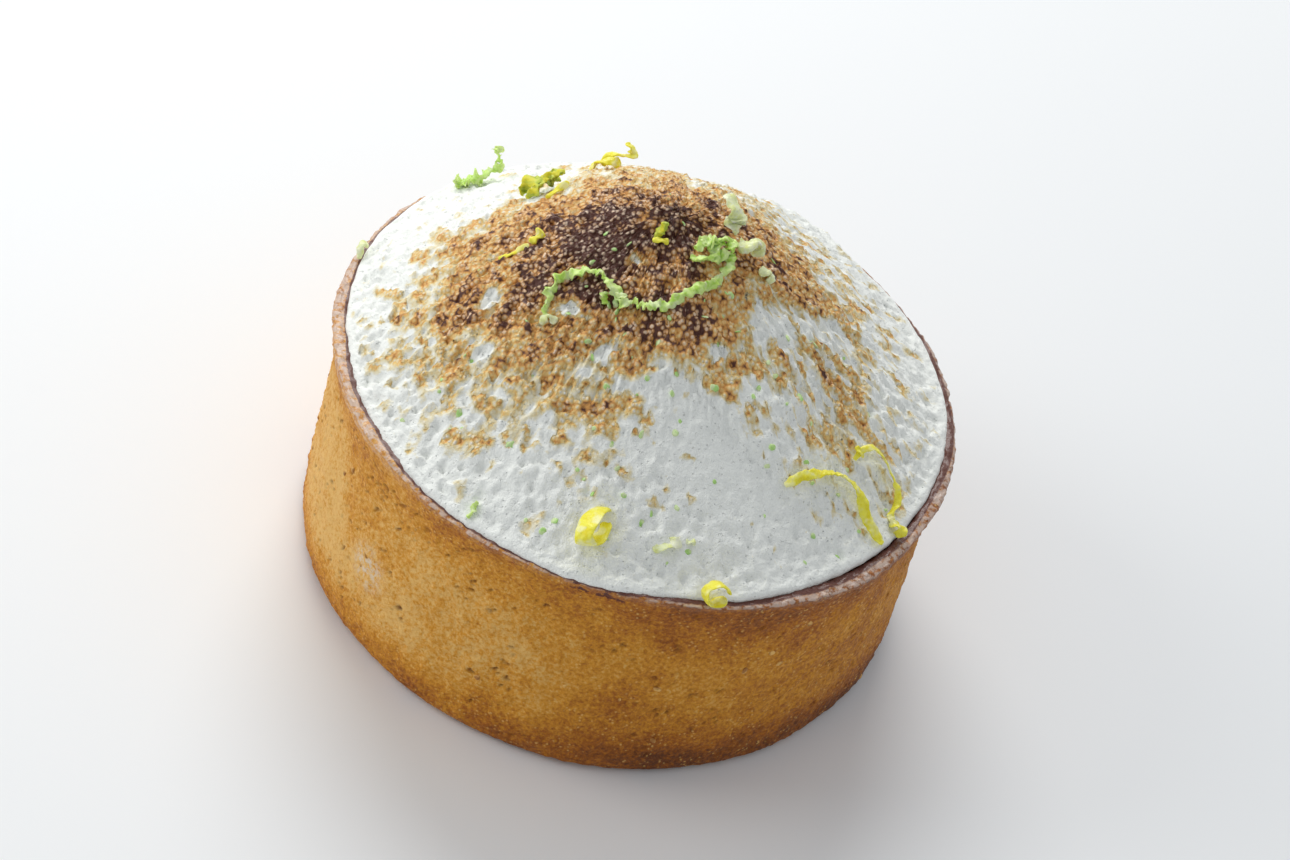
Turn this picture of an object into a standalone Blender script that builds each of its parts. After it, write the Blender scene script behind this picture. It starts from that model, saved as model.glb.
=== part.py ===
# An individual lemon meringue tart: a straight-sided shortcrust shell, filled to the brim,
# under a spooned mound of torched meringue.
# Metres, +Z up. The origin is the middle of the flat foot, and +Y is the back of the tart.

import math

import bmesh
import bpy

# Driving dimensions
RIM_RADIUS = 0.0380  # outer edge of the pastry lip
CRUST_HEIGHT = 0.0300  # foot to the top of the lip
MOUND_HEIGHT = 0.0235  # top of the lip to the peak of the meringue
LIP_WIDTH = 0.0021  # band of pastry seen from above
LIP_ROUND = 0.0005  # rounding of the lip's two edges
FLARE_HEIGHT = 0.0075  # the last stretch of wall, which curls outwards to the lip
NECK_RADIUS = 0.0364  # where the wall would end without its flare
BELLY_RADIUS = 0.0377  # widest part of the wall, low down
FOOT_ROUND = 0.0017  # rounding where the wall meets the foot
RECESS_DEPTH = 0.0015  # how far the meringue sits down inside the lip
SEAT_GAP = 0.0003  # clearance between the meringue and the pastry

# How the dough and the meringue stray from a turned shape
DOUGH_WAVE = 0.00022  # in and out, round the wall
LIP_WAVE = 0.00028  # up and down, round the lip
PEAK_OFFSET = (-0.0030, -0.0010)  # the mound leans to the left
MOUND_POWER = 1.3  # 1 would be a cone, 2 a dome
SHOULDER_HEIGHT = 0.0008  # thickness of the meringue's thin smooth edge
SHOULDER_WIDTH = 0.0020
SPOON_WAVE = 0.00035  # broad lumps left by the spoon
SWIPE_CENTRE = (0.0130, -0.0215)  # the smooth stroke at the front right
SWIPE_REACH = (0.0110, 0.0065)
SWIPE_DEPTH = 0.0009

SEGMENTS = 108  # round the tart, a multiple of six
MOUND_RINGS = SEGMENTS // 6
CORNER_STEPS = 3
WALL_STEPS = 11

PASTRY_COLOUR = (0.44, 0.20, 0.055, 1.0)
MERINGUE_COLOUR = (0.82, 0.83, 0.80, 1.0)


def clear_scene():
    for old in list(bpy.data.objects):
        bpy.data.objects.remove(old, do_unlink=True)


def make_material(name, colour, roughness):
    material = bpy.data.materials.new(name)
    material.use_nodes = True
    shader = material.node_tree.nodes["Principled BSDF"]
    shader.inputs["Base Color"].default_value = colour
    shader.inputs["Roughness"].default_value = roughness
    shader.inputs["Metallic"].default_value = 0.0
    return material


def add_piece(name, mesh_builder, material):
    piece_mesh = bmesh.new()
    mesh_builder(piece_mesh)
    bmesh.ops.recalc_face_normals(piece_mesh, faces=piece_mesh.faces)
    mesh = bpy.data.meshes.new(name)
    piece_mesh.to_mesh(mesh)
    piece_mesh.free()
    mesh.shade_smooth()
    mesh.set_sharp_from_angle(angle=math.radians(35))
    mesh.materials.append(material)
    piece = bpy.data.objects.new(name, mesh)
    bpy.context.scene.collection.objects.link(piece)
    return piece


def add_ring(mesh, radius, height, count=SEGMENTS):
    """One closed ring of vertices; radius and height are functions of the angle."""
    ring = []
    for step in range(count):
        angle = 2 * math.pi * step / count
        at = radius(angle)
        ring.append(mesh.verts.new((at * math.cos(angle), at * math.sin(angle), height(angle))))
    return ring


def bridge(mesh, lower, upper):
    count = len(lower)
    for step in range(count):
        after = (step + 1) % count
        mesh.faces.new((lower[step], lower[after], upper[after], upper[step]))


def dough_wave(angle, height):
    """Slow unevenness of the hand-lined wall."""
    turn = 90.0 * height
    return DOUGH_WAVE * (
        math.sin(3 * angle + 0.8 + turn)
        + 0.7 * math.sin(5 * angle + 2.1 - turn)
        + 0.5 * math.sin(11 * angle + 4.0 + 2 * turn)
    )


def lip_wave(angle):
    return LIP_WAVE * (
        math.sin(2 * angle + 0.5) + 0.6 * math.sin(5 * angle + 1.7) + 0.4 * math.sin(13 * angle)
    )


def wall_radius(height):
    """Radius of the wall: widest low down, drawn in above, and flared out again to the lip."""
    part = (height - FOOT_ROUND) / (CRUST_HEIGHT - FOOT_ROUND)
    drawn_in = BELLY_RADIUS + (NECK_RADIUS - BELLY_RADIUS) * part**1.4
    flare = max(0.0, 1.0 - (CRUST_HEIGHT - height) / FLARE_HEIGHT)
    return drawn_in + (RIM_RADIUS - NECK_RADIUS) * flare**2


def corner(centre_radius, centre_height, size, start, end):
    """Points of a rounded corner, between two angles in degrees."""
    points = []
    for step in range(CORNER_STEPS + 1):
        turn = math.radians(start + (end - start) * step / CORNER_STEPS)
        points.append((centre_radius + size * math.cos(turn), centre_height + size * math.sin(turn)))
    return points


def shell_profile():
    """Radius and height of the outline, from the foot up the wall, over the lip, to the recess."""
    outline = corner(BELLY_RADIUS - FOOT_ROUND, FOOT_ROUND, FOOT_ROUND, -90, 0)
    top = CRUST_HEIGHT - LIP_ROUND
    for step in range(1, WALL_STEPS):
        height = FOOT_ROUND + (top - FOOT_ROUND) * (step / WALL_STEPS) ** 0.8
        outline.append((wall_radius(height), height))
    outline += corner(RIM_RADIUS - LIP_ROUND, top, LIP_ROUND, 0, 90)
    recess_radius = RIM_RADIUS - LIP_WIDTH
    outline += corner(recess_radius + LIP_ROUND, top, LIP_ROUND, 90, 180)
    outline.append((recess_radius, CRUST_HEIGHT - RECESS_DEPTH))
    return outline


def build_shell(mesh):
    rings = []
    profile = shell_profile()
    for number, (radius, height) in enumerate(profile):
        flat = number == 0 or number == len(profile) - 1
        outside = max(0.0, (radius - RIM_RADIUS + LIP_WIDTH) / LIP_WIDTH)
        lift = 0.0 if flat else (height / CRUST_HEIGHT) ** 4

        def at_radius(angle, radius=radius, height=height, wave=min(1.0, outside)):
            return radius + wave * dough_wave(angle, height)

        def at_height(angle, height=height, lift=lift):
            return height + lift * lip_wave(angle)

        rings.append(add_ring(mesh, at_radius, at_height))
    for lower, upper in zip(rings, rings[1:]):
        bridge(mesh, lower, upper)
    mesh.faces.new(reversed(rings[0]))
    mesh.faces.new(rings[-1])


def spoon_wave(x, y):
    return SPOON_WAVE * (
        math.sin(310 * x + 120 * y + 0.6)
        + 0.8 * math.sin(-190 * x + 330 * y + 2.0)
        + 0.6 * math.sin(520 * x - 240 * y + 4.1)
    )


def swipe_cut(x, y):
    """Depth of the smooth stroke that flattens the front right of the mound."""
    along = (x - SWIPE_CENTRE[0]) / SWIPE_REACH[0]
    down = (y - SWIPE_CENTRE[1]) / SWIPE_REACH[1]
    return SWIPE_DEPTH * math.exp(-(along**2) - down**2)


def mound_height(x, y, radius):
    """Height of the meringue over the lip's top plane, at a point of the plan."""
    across = math.hypot(x, y) / radius
    lean = max(0.0, 1.0 - across**2)
    from_peak = math.hypot(x - PEAK_OFFSET[0] * lean, y - PEAK_OFFSET[1] * lean) / radius
    cone = (MOUND_HEIGHT - SHOULDER_HEIGHT) * (1.0 - min(1.0, from_peak) ** MOUND_POWER)
    edge = min(1.0, max(0.0, (1.0 - across) * radius / SHOULDER_WIDTH))
    shoulder = SHOULDER_HEIGHT * math.sqrt(1.0 - (1.0 - edge) ** 2)
    return cone + shoulder + lean * (spoon_wave(x, y) - swipe_cut(x, y))


def build_meringue(mesh):
    radius = RIM_RADIUS - LIP_WIDTH - SEAT_GAP
    seat = CRUST_HEIGHT - RECESS_DEPTH + SEAT_GAP

    # the top is a disc of near-equal triangles: ring number k has 6 k points
    rings = [[mesh.verts.new((0.0, 0.0, CRUST_HEIGHT + mound_height(0.0, 0.0, radius)))]]
    for number in range(1, MOUND_RINGS + 1):
        ring = []
        for step in range(6 * number):
            angle = 2 * math.pi * step / (6 * number)
            x = radius * number / MOUND_RINGS * math.cos(angle)
            y = radius * number / MOUND_RINGS * math.sin(angle)
            ring.append(mesh.verts.new((x, y, CRUST_HEIGHT + mound_height(x, y, radius))))
        rings.append(ring)
    for number in range(1, MOUND_RINGS + 1):
        inner = rings[number - 1]
        outer = rings[number]
        for side in range(6):
            for step in range(number):
                first = outer[side * number + step]
                second = outer[(side * number + step + 1) % (6 * number)]
                near = inner[(side * (number - 1) + step) % len(inner)]
                mesh.faces.new((first, second, near))
                if step < number - 1:
                    beyond = inner[(side * (number - 1) + step + 1) % len(inner)]
                    mesh.faces.new((second, beyond, near))

    foot = add_ring(mesh, lambda angle: radius, lambda angle: seat)
    bridge(mesh, foot, rings[-1])
    mesh.faces.new(reversed(foot))


clear_scene()
pastry = make_material("baked_shortcrust", PASTRY_COLOUR, 0.65)
egg_white = make_material("meringue", MERINGUE_COLOUR, 0.60)
add_piece("pastry_shell", build_shell, pastry)
add_piece("meringue", build_meringue, egg_white)
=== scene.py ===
import math
import random

import bpy
import numpy as np
from mathutils import Matrix, Vector, noise
from mathutils.bvhtree import BVHTree


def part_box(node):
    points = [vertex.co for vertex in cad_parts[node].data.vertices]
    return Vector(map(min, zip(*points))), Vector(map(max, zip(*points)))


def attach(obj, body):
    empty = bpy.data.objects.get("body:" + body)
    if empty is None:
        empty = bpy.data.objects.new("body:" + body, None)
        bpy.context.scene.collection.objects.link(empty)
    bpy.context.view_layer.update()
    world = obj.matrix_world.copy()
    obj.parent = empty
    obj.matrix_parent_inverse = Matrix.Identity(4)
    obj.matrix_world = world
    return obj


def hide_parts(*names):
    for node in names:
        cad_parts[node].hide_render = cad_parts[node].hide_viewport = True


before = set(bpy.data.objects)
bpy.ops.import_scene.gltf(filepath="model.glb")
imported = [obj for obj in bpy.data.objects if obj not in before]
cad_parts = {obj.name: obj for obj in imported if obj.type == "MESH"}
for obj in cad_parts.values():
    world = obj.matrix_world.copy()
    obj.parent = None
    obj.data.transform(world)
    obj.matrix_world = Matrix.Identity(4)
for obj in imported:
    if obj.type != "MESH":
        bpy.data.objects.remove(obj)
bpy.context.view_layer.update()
print("frame loaded:", sorted(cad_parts))

mm = 0.001
shellLow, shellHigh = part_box("pastry_shell")
lipHeight = math.floor(shellHigh[2] / mm) * mm    # the lip's plane: its waves rise less than 1 mm over it
rimRadius = round((shellHigh[0] - shellLow[0]) / 2 / mm) * mm


def deselectAll():
    active = bpy.context.view_layer.objects.active
    if active and active.mode != "OBJECT":
        bpy.ops.object.mode_set(mode="OBJECT")
    bpy.ops.object.select_all(action="DESELECT")


def editMesh(piece):
    deselectAll()
    piece.select_set(True)
    bpy.context.view_layer.objects.active = piece
    bpy.ops.object.mode_set(mode="EDIT")


def objectMode():
    bpy.ops.object.mode_set(mode="OBJECT")


def useModifier(piece, kind, **settings):   # add, set and apply in one go
    modifier = piece.modifiers.new(kind.title(), kind)
    for name, value in settings.items():
        setattr(modifier, name, value)
    bpy.context.view_layer.objects.active = piece
    bpy.ops.object.modifier_apply(modifier=modifier.name)


def subdivideSmooth(piece, levels):
    useModifier(piece, "SUBSURF", levels=levels, render_levels=levels)


def cloudTexture(name, size):
    texture = bpy.data.textures.new(name, "CLOUDS")
    texture.noise_scale = size
    texture.noise_depth = 2
    return texture


def readPoints(piece):
    points = np.empty(len(piece.data.vertices) * 3)
    piece.data.vertices.foreach_get("co", points)
    return points.reshape(-1, 3)


def writePoints(piece, points):
    piece.data.vertices.foreach_set("co", points.ravel())
    piece.data.update()


def storeValues(piece, name, values):
    layer = piece.data.attributes.new(name, "FLOAT", "POINT")
    layer.data.foreach_set("value", np.asarray(values, dtype=np.float32))


def readNormals(piece):
    normals = np.empty(len(piece.data.vertices) * 3)
    piece.data.vertices.foreach_get("normal", normals)
    return normals.reshape(-1, 3)


def setWeights(piece, name, values, levels=8):   # a vertex group in a few even steps
    group = piece.vertex_groups.new(name=name)
    steps = np.rint(np.asarray(values) * levels).astype(int)
    for step in range(1, levels + 1):
        group.add(np.flatnonzero(steps == step).tolist(), step / levels, "REPLACE")


def srgb(red, green, blue):   # a colour as seen, to the linear values Blender works in
    return tuple(c / 12.92 if c <= 0.04045 else ((c + 0.055) / 1.055) ** 2.4 for c in (red, green, blue))


def smoothStep(low, high, value):
    part = np.clip((np.asarray(value) - low) / (high - low), 0, 1)
    return part * part * (3 - 2 * part)


def roughNoise(points, size, octaves=3, seed=0.0):   # about -1 to 1 at every point
    shift = Vector((seed, seed * 0.7, seed * 1.3))
    return np.array([noise.fractal(Vector(p) / size + shift, 0.9, 2.1, octaves) for p in points])


def finishPiece(piece, slotName, *replaced):
    deselectAll()
    piece.select_set(True)
    bpy.context.view_layer.objects.active = piece
    bpy.ops.object.shade_smooth()
    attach(piece, "root")
    if replaced:
        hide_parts(*replaced)
    print(piece.name, "done,", len(piece.data.polygons), "faces")


class Wire:   # one socket, so that shader maths can be written as plain sums
    def __init__(self, finish, socket):
        self.finish = finish
        self.socket = socket

    def calc(self, operation, *others, first=None):
        values = [self if first is None else first, *others]
        return self.finish.node("ShaderNodeMath", {"operation": operation}, dict(enumerate(values)))

    def __add__(self, other):
        return self.calc("ADD", other)

    def __sub__(self, other):
        return self.calc("SUBTRACT", other)

    def __mul__(self, other):
        return self.calc("MULTIPLY", other)

    def __rsub__(self, other):
        return self.calc("SUBTRACT", self, first=other)

    __radd__ = __add__
    __rmul__ = __mul__

    def clamp(self):
        return self.calc("MAXIMUM", 0.0).calc("MINIMUM", 1.0)

    def ramp(self, low, high):   # 0 below low, 1 above high, soft between
        settings = {"interpolation_type": "SMOOTHSTEP"}
        values = {"Value": self, "From Min": low, "From Max": high}
        return self.finish.node("ShaderNodeMapRange", settings, values)


class Finish:   # a material and the nodes that feed it
    def __init__(self, name):
        self.material = bpy.data.materials.new(name)
        self.material.use_nodes = True
        self.tree = self.material.node_tree
        self.shader = self.tree.nodes["Principled BSDF"]
        self.place = self.node("ShaderNodeTexCoord", {}, {}, "Object")

    def node(self, kind, settings, values, output=0):
        made = self.tree.nodes.new(kind)
        for name, value in settings.items():
            if name == "stops":
                self.setStops(made.color_ramp, value)
            else:
                setattr(made, name, value)
        for key, value in values.items():
            self.feed(made.inputs[key], value)
        return Wire(self, made.outputs[output])

    def setStops(self, ramp, stops):
        while len(ramp.elements) < len(stops):
            ramp.elements.new(1.0)
        for element, (position, colour) in zip(ramp.elements, stops):
            element.position = position
            element.color = (*colour, 1.0)

    def feed(self, socket, value):
        if isinstance(value, Wire):
            self.tree.links.new(value.socket, socket)
        else:
            socket.default_value = value

    def noise(self, size, detail=2.0, roughness=0.5):
        values = {"Vector": self.place, "Scale": 1 / size, "Detail": detail, "Roughness": roughness}
        return self.node("ShaderNodeTexNoise", {}, values, "Fac")

    def cells(self, size, output="Distance"):
        return self.node("ShaderNodeTexVoronoi", {}, {"Vector": self.place, "Scale": 1 / size}, output)

    def value(self, name):
        return self.node("ShaderNodeAttribute", {"attribute_name": name}, {}, "Fac")

    def colours(self, wire, stops):
        return self.node("ShaderNodeValToRGB", {"stops": stops}, {"Fac": wire}, "Color")

    def mix(self, factor, first, second):
        def full(colour):
            return colour if isinstance(colour, Wire) else (*colour, 1.0)
        values = {0: factor, 6: full(first), 7: full(second)}
        return self.node("ShaderNodeMix", {"data_type": "RGBA"}, values, 2)

    def axes(self):
        split = self.node("ShaderNodeSeparateXYZ", {}, {0: self.place})
        outputs = split.socket.node.outputs
        return [Wire(self, outputs[i]) for i in range(3)]

    def bump(self, height, distance, strength=1.0):
        values = {"Height": height, "Distance": distance, "Strength": strength}
        return self.node("ShaderNodeBump", {}, values, "Normal")

    def surface(self, **values):
        for name, value in values.items():
            if isinstance(value, tuple) and len(value) == 3 and "Color" in name:
                value = (*value, 1.0)
            self.feed(self.shader.inputs[name.replace("_", " ")], value)
        return self.material


camera = {
    "distance": 308.6 * mm,     # to the middle of the lip
    "elevation": 40.7,          # degrees above the table
    "roll": 17.6,               # the tart's top leans to the right
    "lens": 72.56,
    "aimRight": -0.7 * mm,      # where the lens looks, from the middle of the lip
    "aimUp": -7.5 * mm,
}
lipMiddle = Vector((0, 0, lipHeight))


def addCamera(c):
    rise = math.radians(c["elevation"])
    away = Vector((0, -math.cos(rise), math.sin(rise)))
    eye = lipMiddle + away * c["distance"]
    right = Vector((1, 0, 0))
    up = away.cross(right)
    lean = math.radians(c["roll"])
    pictureUp = up * math.cos(lean) - right * math.sin(lean)
    pictureRight = right * math.cos(lean) + up * math.sin(lean)
    aim = lipMiddle + pictureRight * c["aimRight"] + pictureUp * c["aimUp"]
    back = (eye - aim).normalized()
    side = pictureUp.cross(back).normalized()
    top = back.cross(side)
    data = bpy.data.cameras.new("camera")
    data.lens = c["lens"]
    data.sensor_width = 36
    data.clip_start = 0.01
    view = bpy.data.objects.new("camera", data)
    view.matrix_world = Matrix.Translation(eye) @ Matrix((side, top, back)).transposed().to_4x4()
    bpy.context.scene.collection.objects.link(view)
    bpy.context.scene.camera = view


addCamera(camera)
print("camera set")


crust = {
    "segments": 82,
    "rimRadius": rimRadius,
    "height": lipHeight,
    "lipWidth": 2.1 * mm,
    "lipRound": 0.5 * mm,
    "flareHeight": 7.5 * mm,
    "neckRadius": 36.4 * mm,
    "bellyRadius": 37.7 * mm,
    "footRound": 1.7 * mm,
    "recess": 1.5 * mm,
    "wallSteps": 11,
    "wave": 0.22 * mm,          # slow unevenness of the wall
    "lipWave": 0.28 * mm,
    "clouds": [             # name, size and depth of each roughness
        ("dough", 6.0 * mm, 0.35 * mm), ("crumb", 1.5 * mm, 0.40 * mm), ("grain", 0.6 * mm, 0.34 * mm)],
    "pitDepth": 0.30 * mm,
    "seamLimit": 37.25 * mm,    # outside this the lip never gets the dark seam
    "flourAt": (-23.8 * mm, -28.6 * mm, 12.8 * mm),   # a smudge of flour on the wall
    "pale": srgb(0.93, 0.74, 0.42),
    "golden": srgb(0.86, 0.585, 0.13),
    "brown": srgb(0.67, 0.38, 0.03),
    "dark": srgb(0.41, 0.205, 0.03),
    "seam": srgb(0.40, 0.19, 0.12),   # the dark inner edge of the lip: scorched pastry, with painted shade where the meringue's edge meets it
    "paintedGlint": srgb(0.86, 0.78, 0.73),  # painted highlight: pale glint colour on the lip's top
    "flour": srgb(0.90, 0.82, 0.72),
}


def wallRadius(height):
    part = max(0.0, (height - crust["footRound"]) / (crust["height"] - crust["footRound"]))
    drawnIn = crust["bellyRadius"] + (crust["neckRadius"] - crust["bellyRadius"]) * part ** 1.4
    flare = max(0.0, 1 - (crust["height"] - height) / crust["flareHeight"])
    return drawnIn + (crust["rimRadius"] - crust["neckRadius"]) * flare ** 2


def crustOutline():   # radius and height, from the foot to the recess
    foot = crust["footRound"]
    lip = crust["lipRound"]
    top = crust["height"] - lip
    rim = crust["rimRadius"]
    inner = rim - crust["lipWidth"]
    outline = []
    for turn in (-90, -55, -20):
        radius = crust["bellyRadius"] - foot + foot * math.cos(math.radians(turn))
        outline.append((radius, foot + foot * math.sin(math.radians(turn))))
    for step in range(1, crust["wallSteps"]):
        height = foot + (top - foot) * (step / crust["wallSteps"])
        outline.append((wallRadius(height), height))
    outline += [(rim, top), (rim - lip * 0.3, top + lip * 0.7), (rim - lip, crust["height"])]
    outline += [(inner + lip, crust["height"]), (inner, top)]
    outline += [(inner, crust["height"] - crust["recess"])]
    return outline


def turnUp(name, outline, segments):   # a closed solid, drawn up ring by ring from its foot
    deselectAll()
    bpy.ops.mesh.primitive_circle_add(
        vertices=segments, radius=outline[0][0], fill_type="NGON", location=(0, 0, outline[0][1]))
    piece = bpy.context.active_object
    piece.name = name
    bpy.ops.object.transform_apply(location=True, rotation=True, scale=True)
    editMesh(piece)
    bpy.ops.mesh.select_all(action="SELECT")
    for (radius, height), (nextRadius, nextHeight) in zip(outline, outline[1:]):
        bpy.ops.mesh.extrude_region_move(TRANSFORM_OT_translate={"value": (0, 0, nextHeight - height)})
        grow = nextRadius / radius
        bpy.ops.transform.resize(value=(grow, grow, 1), center_override=(0, 0, nextHeight))
    bpy.ops.mesh.select_all(action="SELECT")
    bpy.ops.mesh.normals_make_consistent(inside=False)
    objectMode()
    subdivideSmooth(piece, 3)
    return piece


def unevenCrust(shell):
    points = readPoints(shell)
    angle = np.arctan2(points[:, 1], points[:, 0])
    height = points[:, 2]
    radius = np.hypot(points[:, 0], points[:, 1])
    outside = np.clip((radius - crust["rimRadius"] + crust["lipWidth"]) / crust["lipWidth"], 0, 1)
    turn = 90 * height          # the waves lean as they climb
    wave = crust["wave"] * outside * (
        np.sin(3 * angle + 0.8 + turn) + 0.7 * np.sin(5 * angle + 2.1 - turn)
        + 0.5 * np.sin(11 * angle + 4.0 + 2 * turn))
    lift = crust["lipWave"] * (height / crust["height"]) ** 4 * (
        np.sin(2 * angle + 0.5) + 0.6 * np.sin(5 * angle + 1.7) + 0.4 * np.sin(13 * angle))
    points[:, :2] *= (1 + wave / np.maximum(radius, 1e-6))[:, None]
    points[:, 2] += lift
    writePoints(shell, points)


def crumbCrust(shell):   # three sizes of cloud on the wall and lip; the foot and the seat stay plain
    points = readPoints(shell)
    radius = np.hypot(points[:, 0], points[:, 1])
    shown = smoothStep(0.1 * mm, 1.5 * mm, points[:, 2]) * smoothStep(34.5 * mm, 35.6 * mm, radius)
    setWeights(shell, "wall", shown)
    for name, size, depth in crust["clouds"]:
        useModifier(
            shell, "DISPLACE", texture=cloudTexture(name, size), texture_coords="LOCAL",
            strength=depth, mid_level=0.5, vertex_group="wall")


def pitCrust(shell):   # ragged little holes where the crumb has opened; also the masks of the dark seam (scorch and painted shade at the meringue's edge) and of the painted glints on the lip
    points = readPoints(shell)
    normals = readNormals(shell)
    radius = np.hypot(points[:, 0], points[:, 1])
    angle = np.arctan2(points[:, 1], points[:, 0])
    holes = smoothStep(0.38, 0.66, roughNoise(points, 0.75 * mm, 2, 2.0))
    holes *= smoothStep(0.0, 0.4, roughNoise(points, 3.5 * mm, 2, 9.0))
    holes *= smoothStep(1.0 * mm, 2.0 * mm, points[:, 2]) * (1 - smoothStep(27.5 * mm, 29 * mm, points[:, 2]))
    points -= normals * (holes * crust["pitDepth"])[:, None]
    writePoints(shell, points)
    storeValues(shell, "pit", holes)
    # the dark seam inside the lip: scorched pastry, with painted shade where the meringue's edge meets it
    outside = radius - np.minimum(edgeRadius(angle) + seamWidth(angle), crust["seamLimit"])
    high = smoothStep(28.0 * mm, 29.0 * mm, points[:, 2])
    storeValues(shell, "seam", high * (1 - smoothStep(0.0, 0.30 * mm, outside)))
    # painted highlight: the up-facing top of the lip just outside the seam gets pale glint colour
    facing = smoothStep(0.25, 0.75, normals[:, 2])
    storeValues(shell, "lip", high * facing * smoothStep(0.05 * mm, 0.30 * mm, outside))


def edgeRadius(angle):   # the meringue's ragged edge: it laps over the pastry at the front and the back
    front = np.clip(-np.sin(angle), 0, 1) ** 1.5
    back = np.clip(np.sin(angle) + 0.3, 0, 1) ** 0.7
    right = np.clip(np.cos(angle), 0, 1) ** 2
    waver = 0.14 * np.sin(3 * angle + 1.0) + 0.08 * np.sin(11 * angle)
    return (36.0 + 0.85 * front + 1.3 * back - 0.5 * right + waver) * mm


def seamWidth(angle):   # how wide the dark seam shows outside the meringue: scorched pastry with painted shade
    right = np.clip(np.cos(angle + 0.55), 0, 1) ** 2
    return (0.42 + 0.65 * right + 0.08 * np.sin(7 * angle) + 0.10 * np.sin(17 * angle + 2)) * mm


def crustFinish():
    m = Finish("bakedShortcrust")
    x, y, z = m.axes()
    high = z * (1 / crust["height"])
    patches = m.noise(13 * mm, 3, 0.55)
    blotch = m.noise(4.5 * mm, 3, 0.6)
    grain = m.noise(0.50 * mm, 4, 0.7)
    speck = m.cells(0.62 * mm)
    top = high.ramp(0.62, 1.0)
    foot = 1 - high.ramp(0.03, 0.30)
    # painted shade: the wall is coloured darker towards the right, away from the light
    paintedShadeRight = x.ramp(-30 * mm, 34 * mm)
    # the baked tone: patchy, darker at the lip and towards the foot, with the painted shade on the right
    # added in
    bakeAndShade = patches * 0.75 + blotch * 0.45 + top * 0.32 + foot * 0.42
    bakeAndShade = bakeAndShade + (grain - 0.5) * 1.3 + paintedShadeRight * 0.34 - 0.45
    colour = m.colours(bakeAndShade, [
        (0.05, crust["pale"]), (0.32, crust["golden"]), (0.66, crust["brown"]), (1.0, crust["dark"])])
    light = (1 - speck.ramp(0.10, 0.34)) * m.noise(2.1 * mm, 1).ramp(0.42, 0.60)
    colour = m.mix(light * 0.75, colour, crust["pale"])
    # painted shade: the pits are coloured dark, as shade falls in them
    colour = m.mix((m.value("pit") * 0.8).clamp(), colour, crust["dark"])
    # the dark seam: scorch colour, partly painted shade at the meringue's edge
    scorchAndGapShade = (m.value("seam") + (m.noise(0.5 * mm, 4, 0.7) - 0.5) * 1.5).ramp(0.38, 0.58)
    # painted highlight: broken pale glints on the lip's top
    paintedGlint = m.value("lip") * (m.noise(0.9 * mm, 3, 0.65).ramp(0.36, 0.56))
    colour = m.mix(scorchAndGapShade, colour, crust["seam"])
    colour = m.mix(paintedGlint * 0.75, colour, crust["paintedGlint"])
    fromFlour = {0: m.place, 1: crust["flourAt"]}
    dusty = m.node("ShaderNodeVectorMath", {"operation": "DISTANCE"}, fromFlour, "Value")
    dusted = (1 - dusty.ramp(0.8 * mm, 4.2 * mm)) * m.noise(0.8 * mm, 4, 0.75).ramp(0.44, 0.58)
    colour = m.mix(dusted * 0.95, colour, crust["flour"])
    height = grain * 0.7 + m.noise(0.20 * mm, 2, 0.6) * 0.35 - speck * 0.25
    normal = m.bump(height, 0.30 * mm, 1.0)
    lip = high.ramp(0.955, 0.985)
    return m.surface(
        Base_Color=colour, Roughness=0.62 - lip * 0.25, Specular_IOR_Level=0.4, Normal=normal,
        Coat_Weight=lip * 0.5, Coat_Roughness=0.22)


pastryCrust = turnUp("pastryCrust", crustOutline(), crust["segments"])
unevenCrust(pastryCrust)
crumbCrust(pastryCrust)
pitCrust(pastryCrust)
pastryCrust.data.materials.append(crustFinish())
finishPiece(pastryCrust, "pastry", "pastry_shell")


mound = {
    "segments": 80,
    "radius": 36.0 * mm,
    "coneRadius": 34.6 * mm,    # inside the thin smooth edge
    "height": 23.5 * mm,        # over the lip
    "edge": 0.9 * mm,
    "power": 1.3,
    "peak": (-3.0, -1.0),       # mm, how far the peak leans
    "rings": 14,
    "lumpHeight": 0.50,         # mm, the slow swells
    "foamHeight": 0.46,
    "fineHeight": 0.24,
    "dentDepth": 0.55,          # round dents left by burst bubbles
    "ledgeHeight": 0.85,
    "ridgeHeight": 0.85,
    "swipeDepth": 0.80,         # the facet a spatula left at the front right
    "bubbleSize": 0.58 * mm,    # of the browned foam
    "white": srgb(0.985, 0.99, 0.97),
    "cream": srgb(0.945, 0.895, 0.74),
    "tan": srgb(0.97, 0.835, 0.54),
    "brown": srgb(0.90, 0.645, 0.34),
    "burnt": srgb(0.36, 0.20, 0.15),
    "bubbleGlint": srgb(0.96, 0.85, 0.74),
    "pinholeShade": srgb(0.60, 0.65, 0.64),
}
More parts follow.
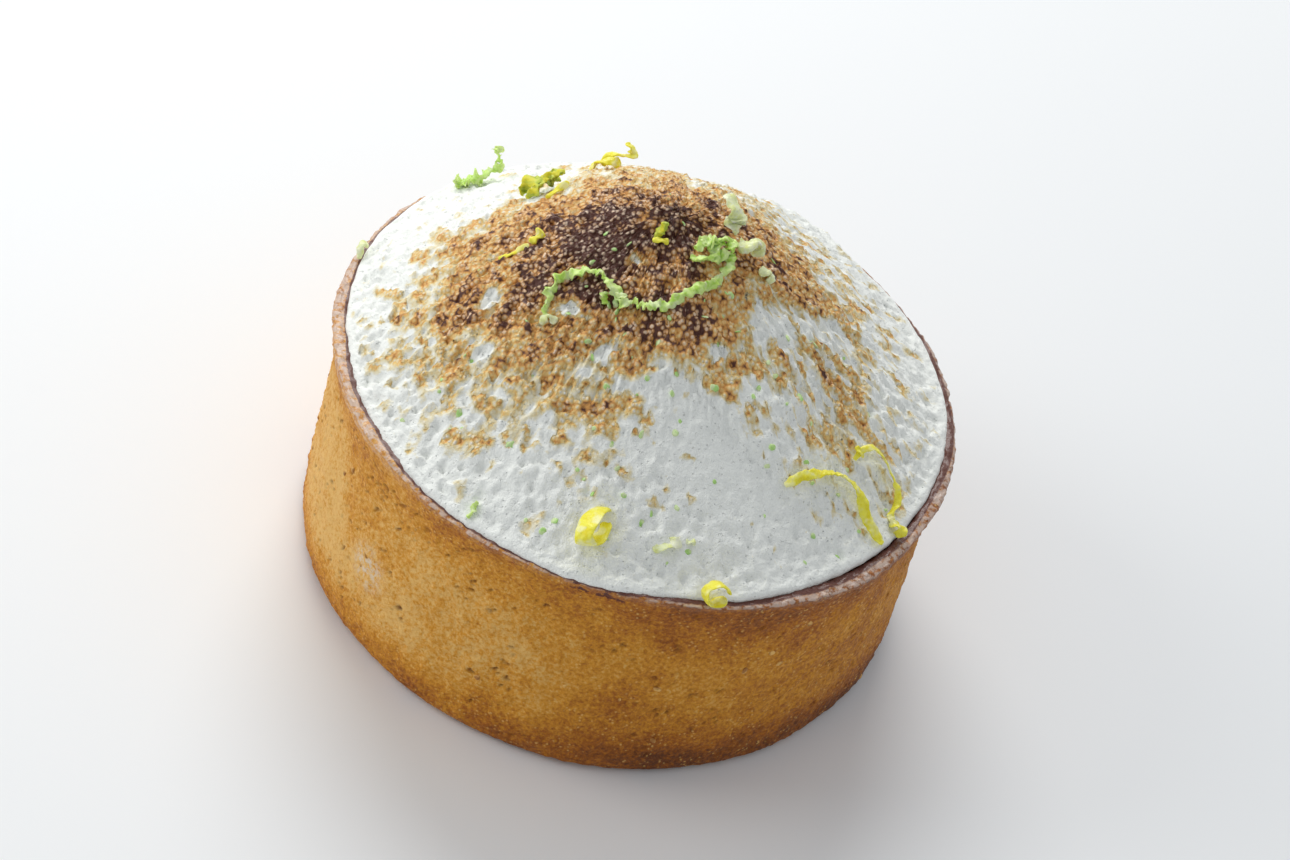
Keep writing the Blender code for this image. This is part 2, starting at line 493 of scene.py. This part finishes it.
# the flame's reach: x, y, half-widths (all mm) and strength
flame = [
    (-6.0, -3.0, 12.5, 8.5, 1.32), (11.0, 4.0, 10.5, 7.5, 0.75), (-3.0, 17.0, 14.0, 20.0, 0.62),
    (-13.0, -14.0, 12.0, 7.5, 0.64), (4.0, -11.5, 10.0, 5.5, 0.72), (-23.0, -8.0, 7.0, 7.5, 0.42),
    (-21.0, 2.0, 9.0, 6.0, 0.40), (23.0, -7.0, 9.0, 8.0, 0.42), (-8.0, -23.0, 18.0, 6.0, 0.24),
    (20.0, 12.0, 8.0, 10.0, 0.36), (-2.0, -22.5, 4.5, 3.0, 0.35), (11.0, -21.5, 7.5, 4.5, -0.40),
    (20.0, -28.0, 13.0, 6.0, -0.35),
]
craters = [   # x, y, radius, depth (mm)
    (9.0, -12.3, 1.15, 0.75), (-3.5, -16.3, 1.2, 0.5), (-2.4, -6.3, 0.9, 0.4), (-16.5, -17.2, 1.1, 0.5),
    (-8.6, -12.4, 1.1, 0.35), (-7.2, -12.9, 1.1, 0.35), (-17.5, -11.0, 1.5, 0.45), (4.5, -17.0, 0.8, 0.3),
]


def moundOutline():   # from the seat inside the lip, over the thin edge, up to the peak
    lip = crust["height"]
    edge = mound["radius"]
    outline = [(edge, lip - 1.4 * mm), (edge + 0.3 * mm, lip - 0.4 * mm), (edge + 0.3 * mm, lip + 0.25 * mm),
               (edge - 0.4 * mm, lip + 0.70 * mm)]
    for step in range(mound["rings"]):
        radius = mound["coneRadius"] * (1 - step / mound["rings"])
        rise = (mound["height"] - mound["edge"]) * (1 - (radius / mound["coneRadius"]) ** mound["power"])
        outline.append((radius, lip + mound["edge"] + rise))
    outline.append((0.8 * mm, lip + mound["height"]))
    return outline


def sculptMound(meringue):
    points = readPoints(meringue)
    px, py = points[:, 0] / mm, points[:, 1] / mm
    across = np.hypot(px, py) / (mound["radius"] / mm)
    free = smoothStep(30.2 * mm, 31.2 * mm, points[:, 2])    # 0 where it meets the pastry
    lean = np.clip(1 - across ** 2, 0, 1)
    angle = np.arctan2(py, px)
    plan = np.column_stack([px, py, points[:, 2] / mm])
    polar = np.column_stack([24 * np.cos(angle), 24 * np.sin(angle), across * 15])

    lumps = roughNoise(plan, 9.0, 2, 3.1)
    torn = 1 - 2.4 * np.abs(roughNoise(polar, 1.0, 3, 7.7))
    foam = roughNoise(plan, 1.6, 3, 1.9)
    fine = roughNoise(plan, 0.55, 2, 5.3)

    swipe = np.exp(-((px - 11) / 9.5) ** 2 - ((py + 22) / 5.5) ** 2)
    ruffled = np.clip(np.exp(-((px + 20) / 13) ** 2 - ((py + 12) / 13) ** 2)
                      + 1.2 * np.exp(-((px - 24) / 9) ** 2 - ((py + 4) / 9) ** 2)
                      + 0.5 * np.exp(-((px + 8) / 14) ** 2 - ((py + 17) / 6) ** 2), 0, 1.2)
    calm = 1 - 0.8 * np.clip(swipe, 0, 1)
    relief = calm * ((0.16 + 0.42 * ruffled) * torn + mound["foamHeight"] * foam
                      + mound["fineHeight"] * fine)

    # the ledge at the right: browned meringue stands over the torn hollow below it
    ledgeSide = ((px - 6) * -14 + (py + 9) * 16) / math.hypot(14, 16)
    ledge = smoothStep(-0.7, 0.7, ledgeSide + 0.5 * torn)
    ledge *= smoothStep(4, 10, px) * (1 - smoothStep(22, 30, px))
    ridgeSide = py + 15.2 + 0.35 * np.maximum(px - 6, 0)
    ridge = smoothStep(-0.5, 0.5, ridgeSide + 0.2 * torn)
    ridge *= smoothStep(0, 5, px) * (1 - smoothStep(15, 24, px))

    # the far side is fuller behind the peak and falls away to the right of it
    behind = smoothStep(1, 10, py) * (1 - smoothStep(26, 34, py))
    full = smoothStep(-16, -11, px) * (1 - smoothStep(3, 15, px))
    dents = np.array([noise.voronoi(Vector(p) / 1.9)[0][0] for p in plan])
    relief -= calm * mound["dentDepth"] * (1 - smoothStep(0.05, 0.42, dents))
    rise = mound["lumpHeight"] * lumps * lean + relief - mound["swipeDepth"] * swipe
    rise += mound["ledgeHeight"] * ledge + mound["ridgeHeight"] * ridge
    rise += behind * (1.1 * full - 0.45 * (1 - full) * smoothStep(2, 13, px))
    rise += 0.5 * np.clip(py / 36, 0, 1) ** 2
    bare = np.zeros(len(points))
    for cx, cy, size, depth in craters:
        distance = np.hypot(px - cx + 0.7 * foam, (py - cy) * 1.15 + 0.7 * torn - 0.4) / size
        rise -= depth * np.clip(1 - distance ** 3, 0, 1)
        rise += 0.12 * np.exp(-((distance - 1.15) / 0.25) ** 2)
        bare += np.exp(-(distance / 0.85) ** 2)
    points[:, 2] += rise * mm * free
    points[:, 0] += mound["peak"][0] * mm * lean * free
    points[:, 1] += mound["peak"][1] * mm * lean * free
    ragged = edgeRadius(angle) / mound["radius"] + 0.004 * roughNoise(polar, 1.4, 2, 4.0)
    points[:, :2] *= (1 + (ragged - 1) * smoothStep(0.80, 0.97, across))[:, None]
    writePoints(meringue, points)

    heat = np.full(len(points), -0.05)
    for fx, fy, reachX, reachY, strength in flame:
        heat += strength * np.exp(-((px - fx) / reachX) ** 2 - ((py - fy) / reachY) ** 2)
    reach = smoothStep(9, 13, px) * (1 - smoothStep(21, 26, px))
    heat -= 0.55 * reach * (1 - ledge) * np.exp(-((ledgeSide + 2.0) / 2.6) ** 2)
    heat += 0.22 * reach * ledge * np.exp(-((ledgeSide - 1.5) / 2.0) ** 2)
    above = smoothStep(0, 4, px) * (1 - smoothStep(17, 23, px))
    below = smoothStep(0, 4, px) * (1 - smoothStep(20, 26, px))
    heat += 0.34 * above * np.exp(-((ridgeSide - 1.3) / 1.2) ** 2)
    heat -= 0.50 * below * np.exp(-((ridgeSide + 2.0) / 1.8) ** 2)
    patch = roughNoise(plan, 2.6, 3, 11.0)
    streak = roughNoise(polar, 1.15, 3, 21.0)
    rightSide = smoothStep(9, 16, px)
    patch = patch * (1 - 0.75 * rightSide) + 1.15 * streak * rightSide
    spots = smoothStep(0.30, 0.62, roughNoise(plan, 1.7, 2, 31.0)) * smoothStep(-33, -27, py)
    spots *= 1 - smoothStep(-8, -2, py)
    toast = heat + 0.58 * patch + 0.34 * relief + 0.42 * spots - 1.25 * bare
    storeValues(meringue, "toast", toast * free)


def meringueFinish():
    m = Finish("torchedMeringue")
    toast = m.value("toast") + (m.noise(1.1 * mm, 4, 0.7) - 0.5) * 0.60
    bubbles = m.cells(mound["bubbleSize"])
    lot = m.node("ShaderNodeSeparateColor", {}, {0: m.cells(mound["bubbleSize"], output="Color")})
    # painted light on the browned foam: a pale painted highlight on each bubble top, strongest in the burnt
    # core
    bubbleHighlight = (1 - bubbles.ramp(0.22, 0.52)) * (0.35 + lot * 0.9)
    browned = toast.ramp(0.36, 0.62)
    burnt = toast.ramp(0.85, 1.20)
    # the toast, with painted shade in the gaps between the bubbles
    shade = toast + (bubbles - 0.44) * 1.25 * browned
    colour = m.colours(shade * 0.53, [
        (0.12, mound["white"]), (0.22, mound["cream"]), (0.36, mound["tan"]), (0.58, mound["brown"]),
        (0.80, mound["burnt"])])
    colour = m.mix((bubbleHighlight * browned * (0.35 + burnt * 0.55)).clamp(), colour, mound["bubbleGlint"])
    soft = m.noise(1.0 * mm, 4, 0.7)
    pores = m.cells(0.75 * mm).ramp(0.04, 0.22)
    pinholes = m.cells(0.9 * mm).ramp(0.03, 0.14)
    height = soft * 1.1 + pores * 0.30 + pinholes * 0.25 - bubbles * browned * 1.0
    normal = m.bump(height, 0.34 * mm, 1.0)
    # painted shade: the tiny pinholes are coloured grey, less so where browned
    colour = m.mix((1 - pinholes) * (0.45 - browned * 0.45), colour, mound["pinholeShade"])
    return m.surface(
        Base_Color=colour, Roughness=0.60 - browned * 0.28, Specular_IOR_Level=0.4, Normal=normal)


meringueMound = turnUp("meringueMound", moundOutline(), mound["segments"])
sculptMound(meringueMound)
meringueMound.data.materials.append(meringueFinish())
finishPiece(meringueMound, "meringue", "meringue")


zest = {
    "stepLength": 0.55 * mm,    # between the cuts of a strip
    "curlThickness": 0.5 * mm,
    "lime": srgb(0.86, 0.96, 0.60),
    "limeDeep": srgb(0.72, 0.88, 0.34),
    "limePith": srgb(0.88, 0.94, 0.72),
    "olive": srgb(0.80, 0.84, 0.34),
    "oliveDeep": srgb(0.62, 0.70, 0.18),
    "pale": srgb(0.92, 0.95, 0.76),
    "paleDeep": srgb(0.88, 0.90, 0.58),
    "palePith": srgb(0.97, 0.97, 0.88),
    "lemon": srgb(0.985, 0.95, 0.33),
    "lemonDeep": srgb(0.94, 0.88, 0.14),
    "lemonPith": srgb(0.99, 0.98, 0.74),
}
# each strand: its route over the meringue as x, y and lift, its width and its thickness (mm)
limeStrands = [
    ([(-12.6, -14.4, 0.4), (-13.0, -12.5, 0.7), (-12.4, -10.5, 0.7), (-10.6, -9.3, 0.7), (-8.8, -9.8, 0.9),
      (-7.2, -10.9, 0.7), (-5.4, -11.8, 0.7), (-3.9, -12.4, 0.9), (-2.2, -12.0, 0.8), (-0.4, -11.3, 0.6),
      (1.5, -10.3, 0.8), (2.9, -8.7, 0.8), (4.0, -7.0, 0.9), (4.6, -5.2, 1.2), (4.4, -4.0, 1.5)], 1.25, 0.55),
    ([(-5.8, -11.0, 0.6), (-5.2, -12.2, 1.1), (-4.4, -12.9, 0.7)], 1.2, 0.5),
    ([(-7.4, -11.6, 0.5), (-6.8, -12.6, 0.6)], 0.9, 0.4),
    ([(0.3, -4.9, 0.6), (1.4, -4.0, 1.6), (2.7, -4.3, 2.0), (3.8, -5.2, 1.4)], 1.7, 0.6),
    ([(0.6, -5.9, 0.5), (1.8, -5.6, 1.1), (3.0, -5.2, 1.6), (4.4, -4.4, 1.6)], 1.6, 0.6),
    ([(1.2, -3.6, 1.0), (2.2, -3.4, 2.0), (3.6, -3.6, 2.3), (4.6, -4.2, 1.8)], 1.3, 0.5),
    ([(-28.8, 18.0, 2.0), (-29.4, 19.2, 0.8), (-28.0, 20.2, 0.5), (-26.4, 20.8, 1.0), (-25.4, 21.6, 2.0),
      (-24.6, 22.2, 3.2), (-24.8, 22.8, 4.0)], 1.3, 0.5),
    ([(-29.6, 18.8, 0.4), (-28.2, 18.8, 1.1), (-26.8, 19.6, 1.3)], 1.9, 0.6),
    ([(-14.0, -34.0, 0.2), (-13.7, -33.0, 0.5), (-13.4, -32.2, 0.4)], 0.8, 0.45),
]
oliveStrands = [
    ([(-20.4, 7.4, 0.6), (-19.4, 8.6, 1.6), (-18.0, 8.6, 2.0), (-16.8, 8.2, 1.4)], 1.7, 0.6),
    ([(-19.8, 6.6, 0.5), (-18.4, 7.2, 1.3), (-17.0, 8.2, 1.9), (-15.8, 9.6, 2.0)], 1.3, 0.5),
    ([(-3.2, -4.9, 0.3), (-3.1, -4.2, 0.9), (-2.8, -3.5, 1.6)], 1.2, 0.5),
]
paleStrands = [
    ([(4.5, 0.4, 0.8), (4.0, 1.2, 2.0), (3.7, 1.8, 3.0), (3.4, 2.2, 3.9)], 2.5, 0.8),
    ([(5.2, -2.6, 1.0), (5.8, -1.4, 1.9), (6.8, -0.8, 1.7), (7.6, -1.2, 0.8)], 2.2, 0.9),
    ([(8.4, -2.7, 0.4), (9.2, -2.2, 0.9), (10.2, -2.3, 0.5)], 1.6, 0.7),
    ([(-13.0, -15.3, 0.4), (-12.2, -14.7, 0.8), (-11.6, -14.8, 0.4)], 1.3, 0.6),
    ([(-37.0, 2.0, 0.5), (-37.2, 3.4, 1.5), (-36.8, 4.8, 0.8)], 1.2, 0.6),
    ([(6.2, -32.2, 0.1), (7.6, -31.4, 0.35), (9.0, -30.6, 0.1)], 1.7, 0.35),
    ([(9.4, -30.4, 0.0), (10.4, -29.9, 0.25)], 1.0, 0.3),
]
lemonStrands = [
    ([(18.0, -20.3, 0.4), (19.4, -19.0, 0.9), (21.0, -17.3, 0.9), (22.8, -15.7, 0.8), (24.6, -15.0, 1.2),
      (26.3, -15.6, 1.2), (28.0, -16.7, 0.9), (29.6, -17.6, 0.7), (31.0, -18.0, 0.4)], 1.35, 0.4),
    ([(25.3, -12.0, 0.3), (25.4, -10.6, 0.9), (26.6, -9.5, 1.3), (28.4, -9.1, 1.4), (30.2, -9.7, 1.4),
      (31.4, -11.0, 1.2), (31.8, -12.6, 0.9), (31.3, -13.8, 0.7), (31.8, -14.8, 0.5)], 1.0, 0.35),
    ([(31.2, -14.9, 0.3), (32.3, -15.0, 0.8), (33.1, -15.8, 0.4)], 1.8, 0.4),
    ([(24.7, -10.6, 0.8), (25.3, -11.6, 1.0), (26.0, -11.0, 0.9)], 1.0, 0.4),
    ([(-20.2, -5.6, 0.2), (-18.6, -5.2, 0.4), (-17.2, -4.6, 0.5)], 0.9, 0.4),
    ([(-17.4, -4.8, 0.6), (-16.0, -3.9, 0.8)], 1.5, 0.6),
    ([(-17.6, 5.4, 0.3), (-16.6, 6.4, 0.5), (-15.4, 7.4, 0.4)], 0.9, 0.4),
    ([(-3.9, -5.4, 0.4), (-3.2, -5.0, 0.8), (-2.6, -5.0, 0.5)], 1.1, 0.6),
    ([(-12.8, 15.2, 0.6), (-12.0, 15.8, 1.8), (-10.8, 15.6, 2.8), (-9.6, 16.0, 3.6)], 1.5, 0.5),
    ([(-14.0, 15.0, 0.5), (-12.4, 15.0, 1.3), (-10.6, 15.0, 1.0)], 1.4, 0.5),
]
# wide curls of lemon peel: middle (x, y, lift), ring radius, width, tall stretch, turn and tilt (degrees)
lemonCurls = [
    (-0.4, -32.6, 1.2, 1.45, 2.7, 2.0, 76, 62, 330), (14.2, -34.6, 1.5, 1.30, 2.3, 1.15, 24, 66, 345),
]


def overMeringue(tree, x, y, lift):
    start = Vector((x * mm, y * mm, 0.2))
    hit, normal, _, _ = tree.ray_cast(start, Vector((0, 0, -1)))
    if hit is None:
        return Vector((x * mm, y * mm, crust["height"] + lift * mm)), Vector((0, 0, 1))
    return hit + (normal + Vector((0, 0, 1))).normalized() * lift * mm, normal


def curvePoint(points, along):   # a smooth curve through the route, from 0 to 1
    last = len(points) - 1
    spot = min(max(along, 0.0), 1.0) * last
    first = min(int(spot), last - 1)
    t = spot - first
    a = points[max(first - 1, 0)]
    b, c = points[first], points[first + 1]
    d = points[min(first + 2, last)]
    square = 2 * a - 5 * b + 4 * c - d
    cube = 3 * b - a - 3 * c + d
    return 0.5 * (2 * b + (c - a) * t + square * t * t + cube * t ** 3)


def pickEnd(strip):   # only the end face, ready to be drawn out
    editMesh(strip)
    bpy.ops.mesh.select_mode(type="FACE")
    bpy.ops.mesh.select_all(action="DESELECT")
    objectMode()
    for polygon in strip.data.polygons:
        polygon.select = polygon.normal.x > 0.9
    editMesh(strip)


def straightStrip(name, length, width, thickness, draw):   # drawn out along X, uneven in width
    steps = max(6, int(length / zest["stepLength"]))
    deselectAll()
    bpy.ops.mesh.primitive_cube_add(size=1, location=(length / steps / 2, 0, 0))
    strip = bpy.context.active_object
    strip.name = name
    strip.scale = (length / steps, width * 0.6, thickness * 0.6)
    bpy.ops.object.transform_apply(location=True, rotation=True, scale=True)
    pickEnd(strip)
    size = 0.6
    for step in range(1, steps):
        bpy.ops.mesh.extrude_region_move(TRANSFORM_OT_translate={"value": (length / steps, 0, 0)})
        wanted = draw.uniform(0.82, 1.18) if step < steps - 1 else 0.55
        grow = wanted / size
        bpy.ops.transform.resize(value=(1, grow, grow ** 0.5), center_override=(0, 0, 0))
        size = wanted
    bpy.ops.mesh.select_all(action="SELECT")
    bpy.ops.mesh.normals_make_consistent(inside=False)
    objectMode()
    subdivideSmooth(strip, 2)
    return strip


def frillAt(x, side, size, seed):
    return noise.fractal(Vector((x / size, side / size * 0.6, seed)), 0.8, 2.2, 2)


def layAlong(strip, length, places, twist, frill, seed):   # bends the frilled strip onto its route
    points = readPoints(strip)
    half = abs(points[:, 1]).max()
    for index, (x, side, up) in enumerate(points):
        along = x / length
        edge = abs(side) / half
        side *= 1 + 0.7 * frill * frillAt(x, math.copysign(3, side) * mm, 0.9 * mm, seed)
        up += frill * half * (0.25 + edge) * frillAt(x, side, 0.60 * mm, seed + 5)
        up += 0.5 * frill * half * frillAt(x, side, 1.7 * mm, seed + 9)
        here = curvePoint(places, along)
        ahead = (curvePoint(places, along + 0.02) - curvePoint(places, along - 0.02)).normalized()
        across = Vector((0, 0, 1)).cross(ahead).normalized()
        over = ahead.cross(across)
        turn = twist * math.sin(along * 9 + twist)
        sideways = across * math.cos(turn) + over * math.sin(turn)
        upward = over * math.cos(turn) - across * math.sin(turn)
        points[index] = here + sideways * side + upward * up
    writePoints(strip, points)


def addStrands(name, strands, tree, seed, twist, frill):
    draw = random.Random(seed)
    made = []
    for number, (route, width, thickness) in enumerate(strands):
        places = [overMeringue(tree, *spot)[0] for spot in route]
        length = sum((b - a).length for a, b in zip(places, places[1:]))
        strip = straightStrip(f"{name}{number}", length, width * mm, thickness * mm, draw)
        layAlong(strip, length, places, twist, frill, seed + number)
        made.append(strip)
    return made


def addCurls(name, curls, tree, seed):   # a strip rolled up until its ends nearly meet
    draw = random.Random(seed)
    made = []
    for number, (x, y, lift, radius, width, stretch, turn, tilt, sweep) in enumerate(curls):
        middle, _ = overMeringue(tree, x, y, lift)
        length = math.radians(sweep) * radius * mm
        strip = straightStrip(f"{name}{number}", length, width * mm, zest["curlThickness"], draw)
        points = readPoints(strip)
        place = Matrix.Rotation(math.radians(turn), 3, "Z") @ Matrix.Rotation(math.radians(tilt), 3, "X")
        for index, (x, side, up) in enumerate(points):
            up += 0.16 * mm * frillAt(x, side, 1.2 * mm, seed + number)
            way = x / (radius * mm)
            reach = radius * mm * (1 - 0.035 * way) + up
            rolled = Vector((reach * math.cos(way) * stretch, reach * math.sin(way), side))
            points[index] = middle + place @ rolled
        writePoints(strip, points)
        made.append(strip)
    return made


def joinPieces(pieces, name):
    deselectAll()
    for piece in pieces:
        piece.select_set(True)
    bpy.context.view_layer.objects.active = pieces[0]
    bpy.ops.object.join()
    pieces[0].name = name
    return pieces[0]


def peelFinish(name, skin, deep, pith, rough):
    m = Finish(name)
    mottle = m.noise(0.9 * mm, 3, 0.6).ramp(0.38, 0.66)
    pale = m.noise(1.6 * mm, 2, 0.5).ramp(0.50, 0.66)
    oil = m.cells(0.42 * mm)
    colour = m.mix(mottle, skin, deep)
    colour = m.mix(pale * 0.75, colour, pith)
    normal = m.bump(oil * 0.6 + m.noise(0.3 * mm, 2) * 0.5, 0.12 * mm, 0.8)
    return m.surface(Base_Color=colour, Roughness=rough, Specular_IOR_Level=0.45, Normal=normal,
                     Subsurface_Weight=0.25, Subsurface_Radius=(1.0, 1.0, 0.4), Subsurface_Scale=0.6 * mm)


moundTree = BVHTree.FromObject(meringueMound, bpy.context.evaluated_depsgraph_get())

peels = [   # name, strands, seed, twist, frill, skin, deeper skin, pith, roughness, slot
    ("limeZest", limeStrands, 5, 0.9, 1.35, "lime", "limeDeep", "limePith", 0.45, "lime_zest"),
    ("oliveZest", oliveStrands, 15, 0.8, 1.2, "olive", "oliveDeep", "lemonDeep", 0.5, "lime_zest"),
    ("paleZest", paleStrands, 25, 0.5, 0.45, "pale", "paleDeep", "palePith", 0.4, "lime_zest"),
    ("lemonZest", lemonStrands, 9, 0.6, 0.35, "lemon", "lemonDeep", "lemonPith", 0.38, "lemon_zest"),
]
for name, strands, seed, twist, frill, skin, deep, pith, rough, slotName in peels:
    pieces = addStrands(name, strands, moundTree, seed, twist, frill)
    if slotName == "lemon_zest":
        pieces += addCurls("lemonCurl", lemonCurls, moundTree, 31)
    peel = joinPieces(pieces, name)
    peel.data.materials.clear()
    peel.data.materials.append(peelFinish(name + "Peel", zest[skin], zest[deep], zest[pith], rough))
    finishPiece(peel, slotName)
print("zest laid on the meringue")


scatter = {
    "flecks": 95,
    "fleckMiddle": (3, -20),    # mm, where most flecks fall
    "fleckSpread": (16, 10),
    "fleckReach": 34.5,         # mm from the middle, and none lies further back than the next
    "fleckBack": 4,
    "fleckSize": 0.30 * mm,
    "crumbs": 60,
    "crumbBand": (2, 28),       # mm up the wall, lowest and highest
    "crumbSize": 0.28 * mm,
    "fleckColour": srgb(0.70, 0.88, 0.50),
    "crumbColour": srgb(0.66, 0.44, 0.20),
}


def scatterBits(name, places, size, flat, seed):   # one knobbly bit, copied with its own mesh
    deselectAll()
    bpy.ops.mesh.primitive_ico_sphere_add(subdivisions=2, radius=1)
    first = bpy.context.active_object
    editMesh(first)
    bpy.ops.mesh.select_all(action="SELECT")
    bpy.ops.transform.vertex_random(offset=0.28, seed=seed)
    bpy.ops.mesh.normals_make_consistent(inside=False)
    objectMode()
    draw = random.Random(seed)
    made = []
    for place, normal in places:
        bit = first.copy()
        bit.data = first.data.copy()
        bpy.context.scene.collection.objects.link(bit)
        scale = size * draw.uniform(0.5, 1.5)
        shape = Matrix.Diagonal((scale * draw.uniform(0.8, 1.7), scale, scale * flat)).to_4x4()
        turn = Matrix.Rotation(draw.uniform(0, math.tau), 4, "Z")
        face = normal.to_track_quat("Z", "Y").to_matrix().to_4x4()
        bit.data.transform(Matrix.Translation(place) @ face @ turn @ shape)
        bit.matrix_world = Matrix.Identity(4)
        made.append(bit)
    bpy.data.objects.remove(first)
    return joinPieces(made, name)


def bitFinish(name, colour, deep, rough):
    m = Finish(name)
    shade = m.noise(0.8 * mm, 2, 0.5).ramp(0.35, 0.65)
    normal = m.bump(m.noise(0.25 * mm, 2), 0.06 * mm, 0.7)
    return m.surface(Base_Color=m.mix(shade, colour, deep), Roughness=rough, Normal=normal)


draw = random.Random(12)
fleckPlaces = []
while len(fleckPlaces) < scatter["flecks"]:
    x, y = [draw.gauss(*each) for each in zip(scatter["fleckMiddle"], scatter["fleckSpread"])]
    if math.hypot(x, y) < scatter["fleckReach"] and y < scatter["fleckBack"]:
        fleckPlaces.append(overMeringue(moundTree, x, y, 0.02))
flecks = scatterBits("limeFlecks", fleckPlaces, scatter["fleckSize"], 0.30, 3)
flecks.data.materials.append(bitFinish("fleckPeel", scatter["fleckColour"], zest["limePith"], 0.45))
finishPiece(flecks, "lime_zest")

crustTree = BVHTree.FromObject(pastryCrust, bpy.context.evaluated_depsgraph_get())
crumbPlaces = []
for _ in range(scatter["crumbs"]):
    angle = draw.uniform(0, math.tau)
    height = draw.uniform(*scatter["crumbBand"]) * mm
    outward = Vector((math.cos(angle), math.sin(angle), 0))
    hit, normal, _, _ = crustTree.ray_cast(outward * 0.06 + Vector((0, 0, height)), -outward)
    crumbPlaces.append((hit, normal))
crumbs = scatterBits("pastryCrumbs", crumbPlaces, scatter["crumbSize"], 0.55, 4)
crumbs.data.materials.append(bitFinish("crumbBake", scatter["crumbColour"], crust["pale"], 0.7))
finishPiece(crumbs, "pastry")


studio = {
    "table": srgb(0.95, 0.955, 0.96),
    "softboxes": [   # name, place, width and power
        ("backWindow", (-0.22, 0.62, 0.60), 0.60, 4.6), ("sideWindow", (-0.75, -0.05, 0.35), 0.50, 2.1)],
    "softboxColour": (1.0, 1.0, 0.98),
    "sky": (0.93, 0.965, 1.0),
    "skyStrength": 0.50,
}


def addTable():
    deselectAll()
    bpy.ops.mesh.primitive_plane_add(size=6.0, location=(0, 0, 0))
    table = bpy.context.active_object
    table.name = "table"
    m = Finish("paleTable")
    table.data.materials.append(m.surface(Base_Color=studio["table"], Roughness=0.55))


def addSoftbox(name, place, size, power):
    data = bpy.data.lights.new(name, "AREA")
    data.shape = "DISK"
    data.size = size
    data.energy = power
    data.color = studio["softboxColour"]
    box = bpy.data.objects.new(name, data)
    box.location = place
    box.rotation_euler = (lipMiddle - Vector(place)).to_track_quat("-Z", "Y").to_euler()
    bpy.context.scene.collection.objects.link(box)


addTable()
for softbox in studio["softboxes"]:
    addSoftbox(*softbox)
world = bpy.data.worlds.new("room")
world.use_nodes = True
world.node_tree.nodes["Background"].inputs["Color"].default_value = (*studio["sky"], 1.0)
world.node_tree.nodes["Background"].inputs["Strength"].default_value = studio["skyStrength"]
bpy.context.scene.world = world
bpy.context.scene.view_settings.view_transform = "Standard"
print("table and light set")
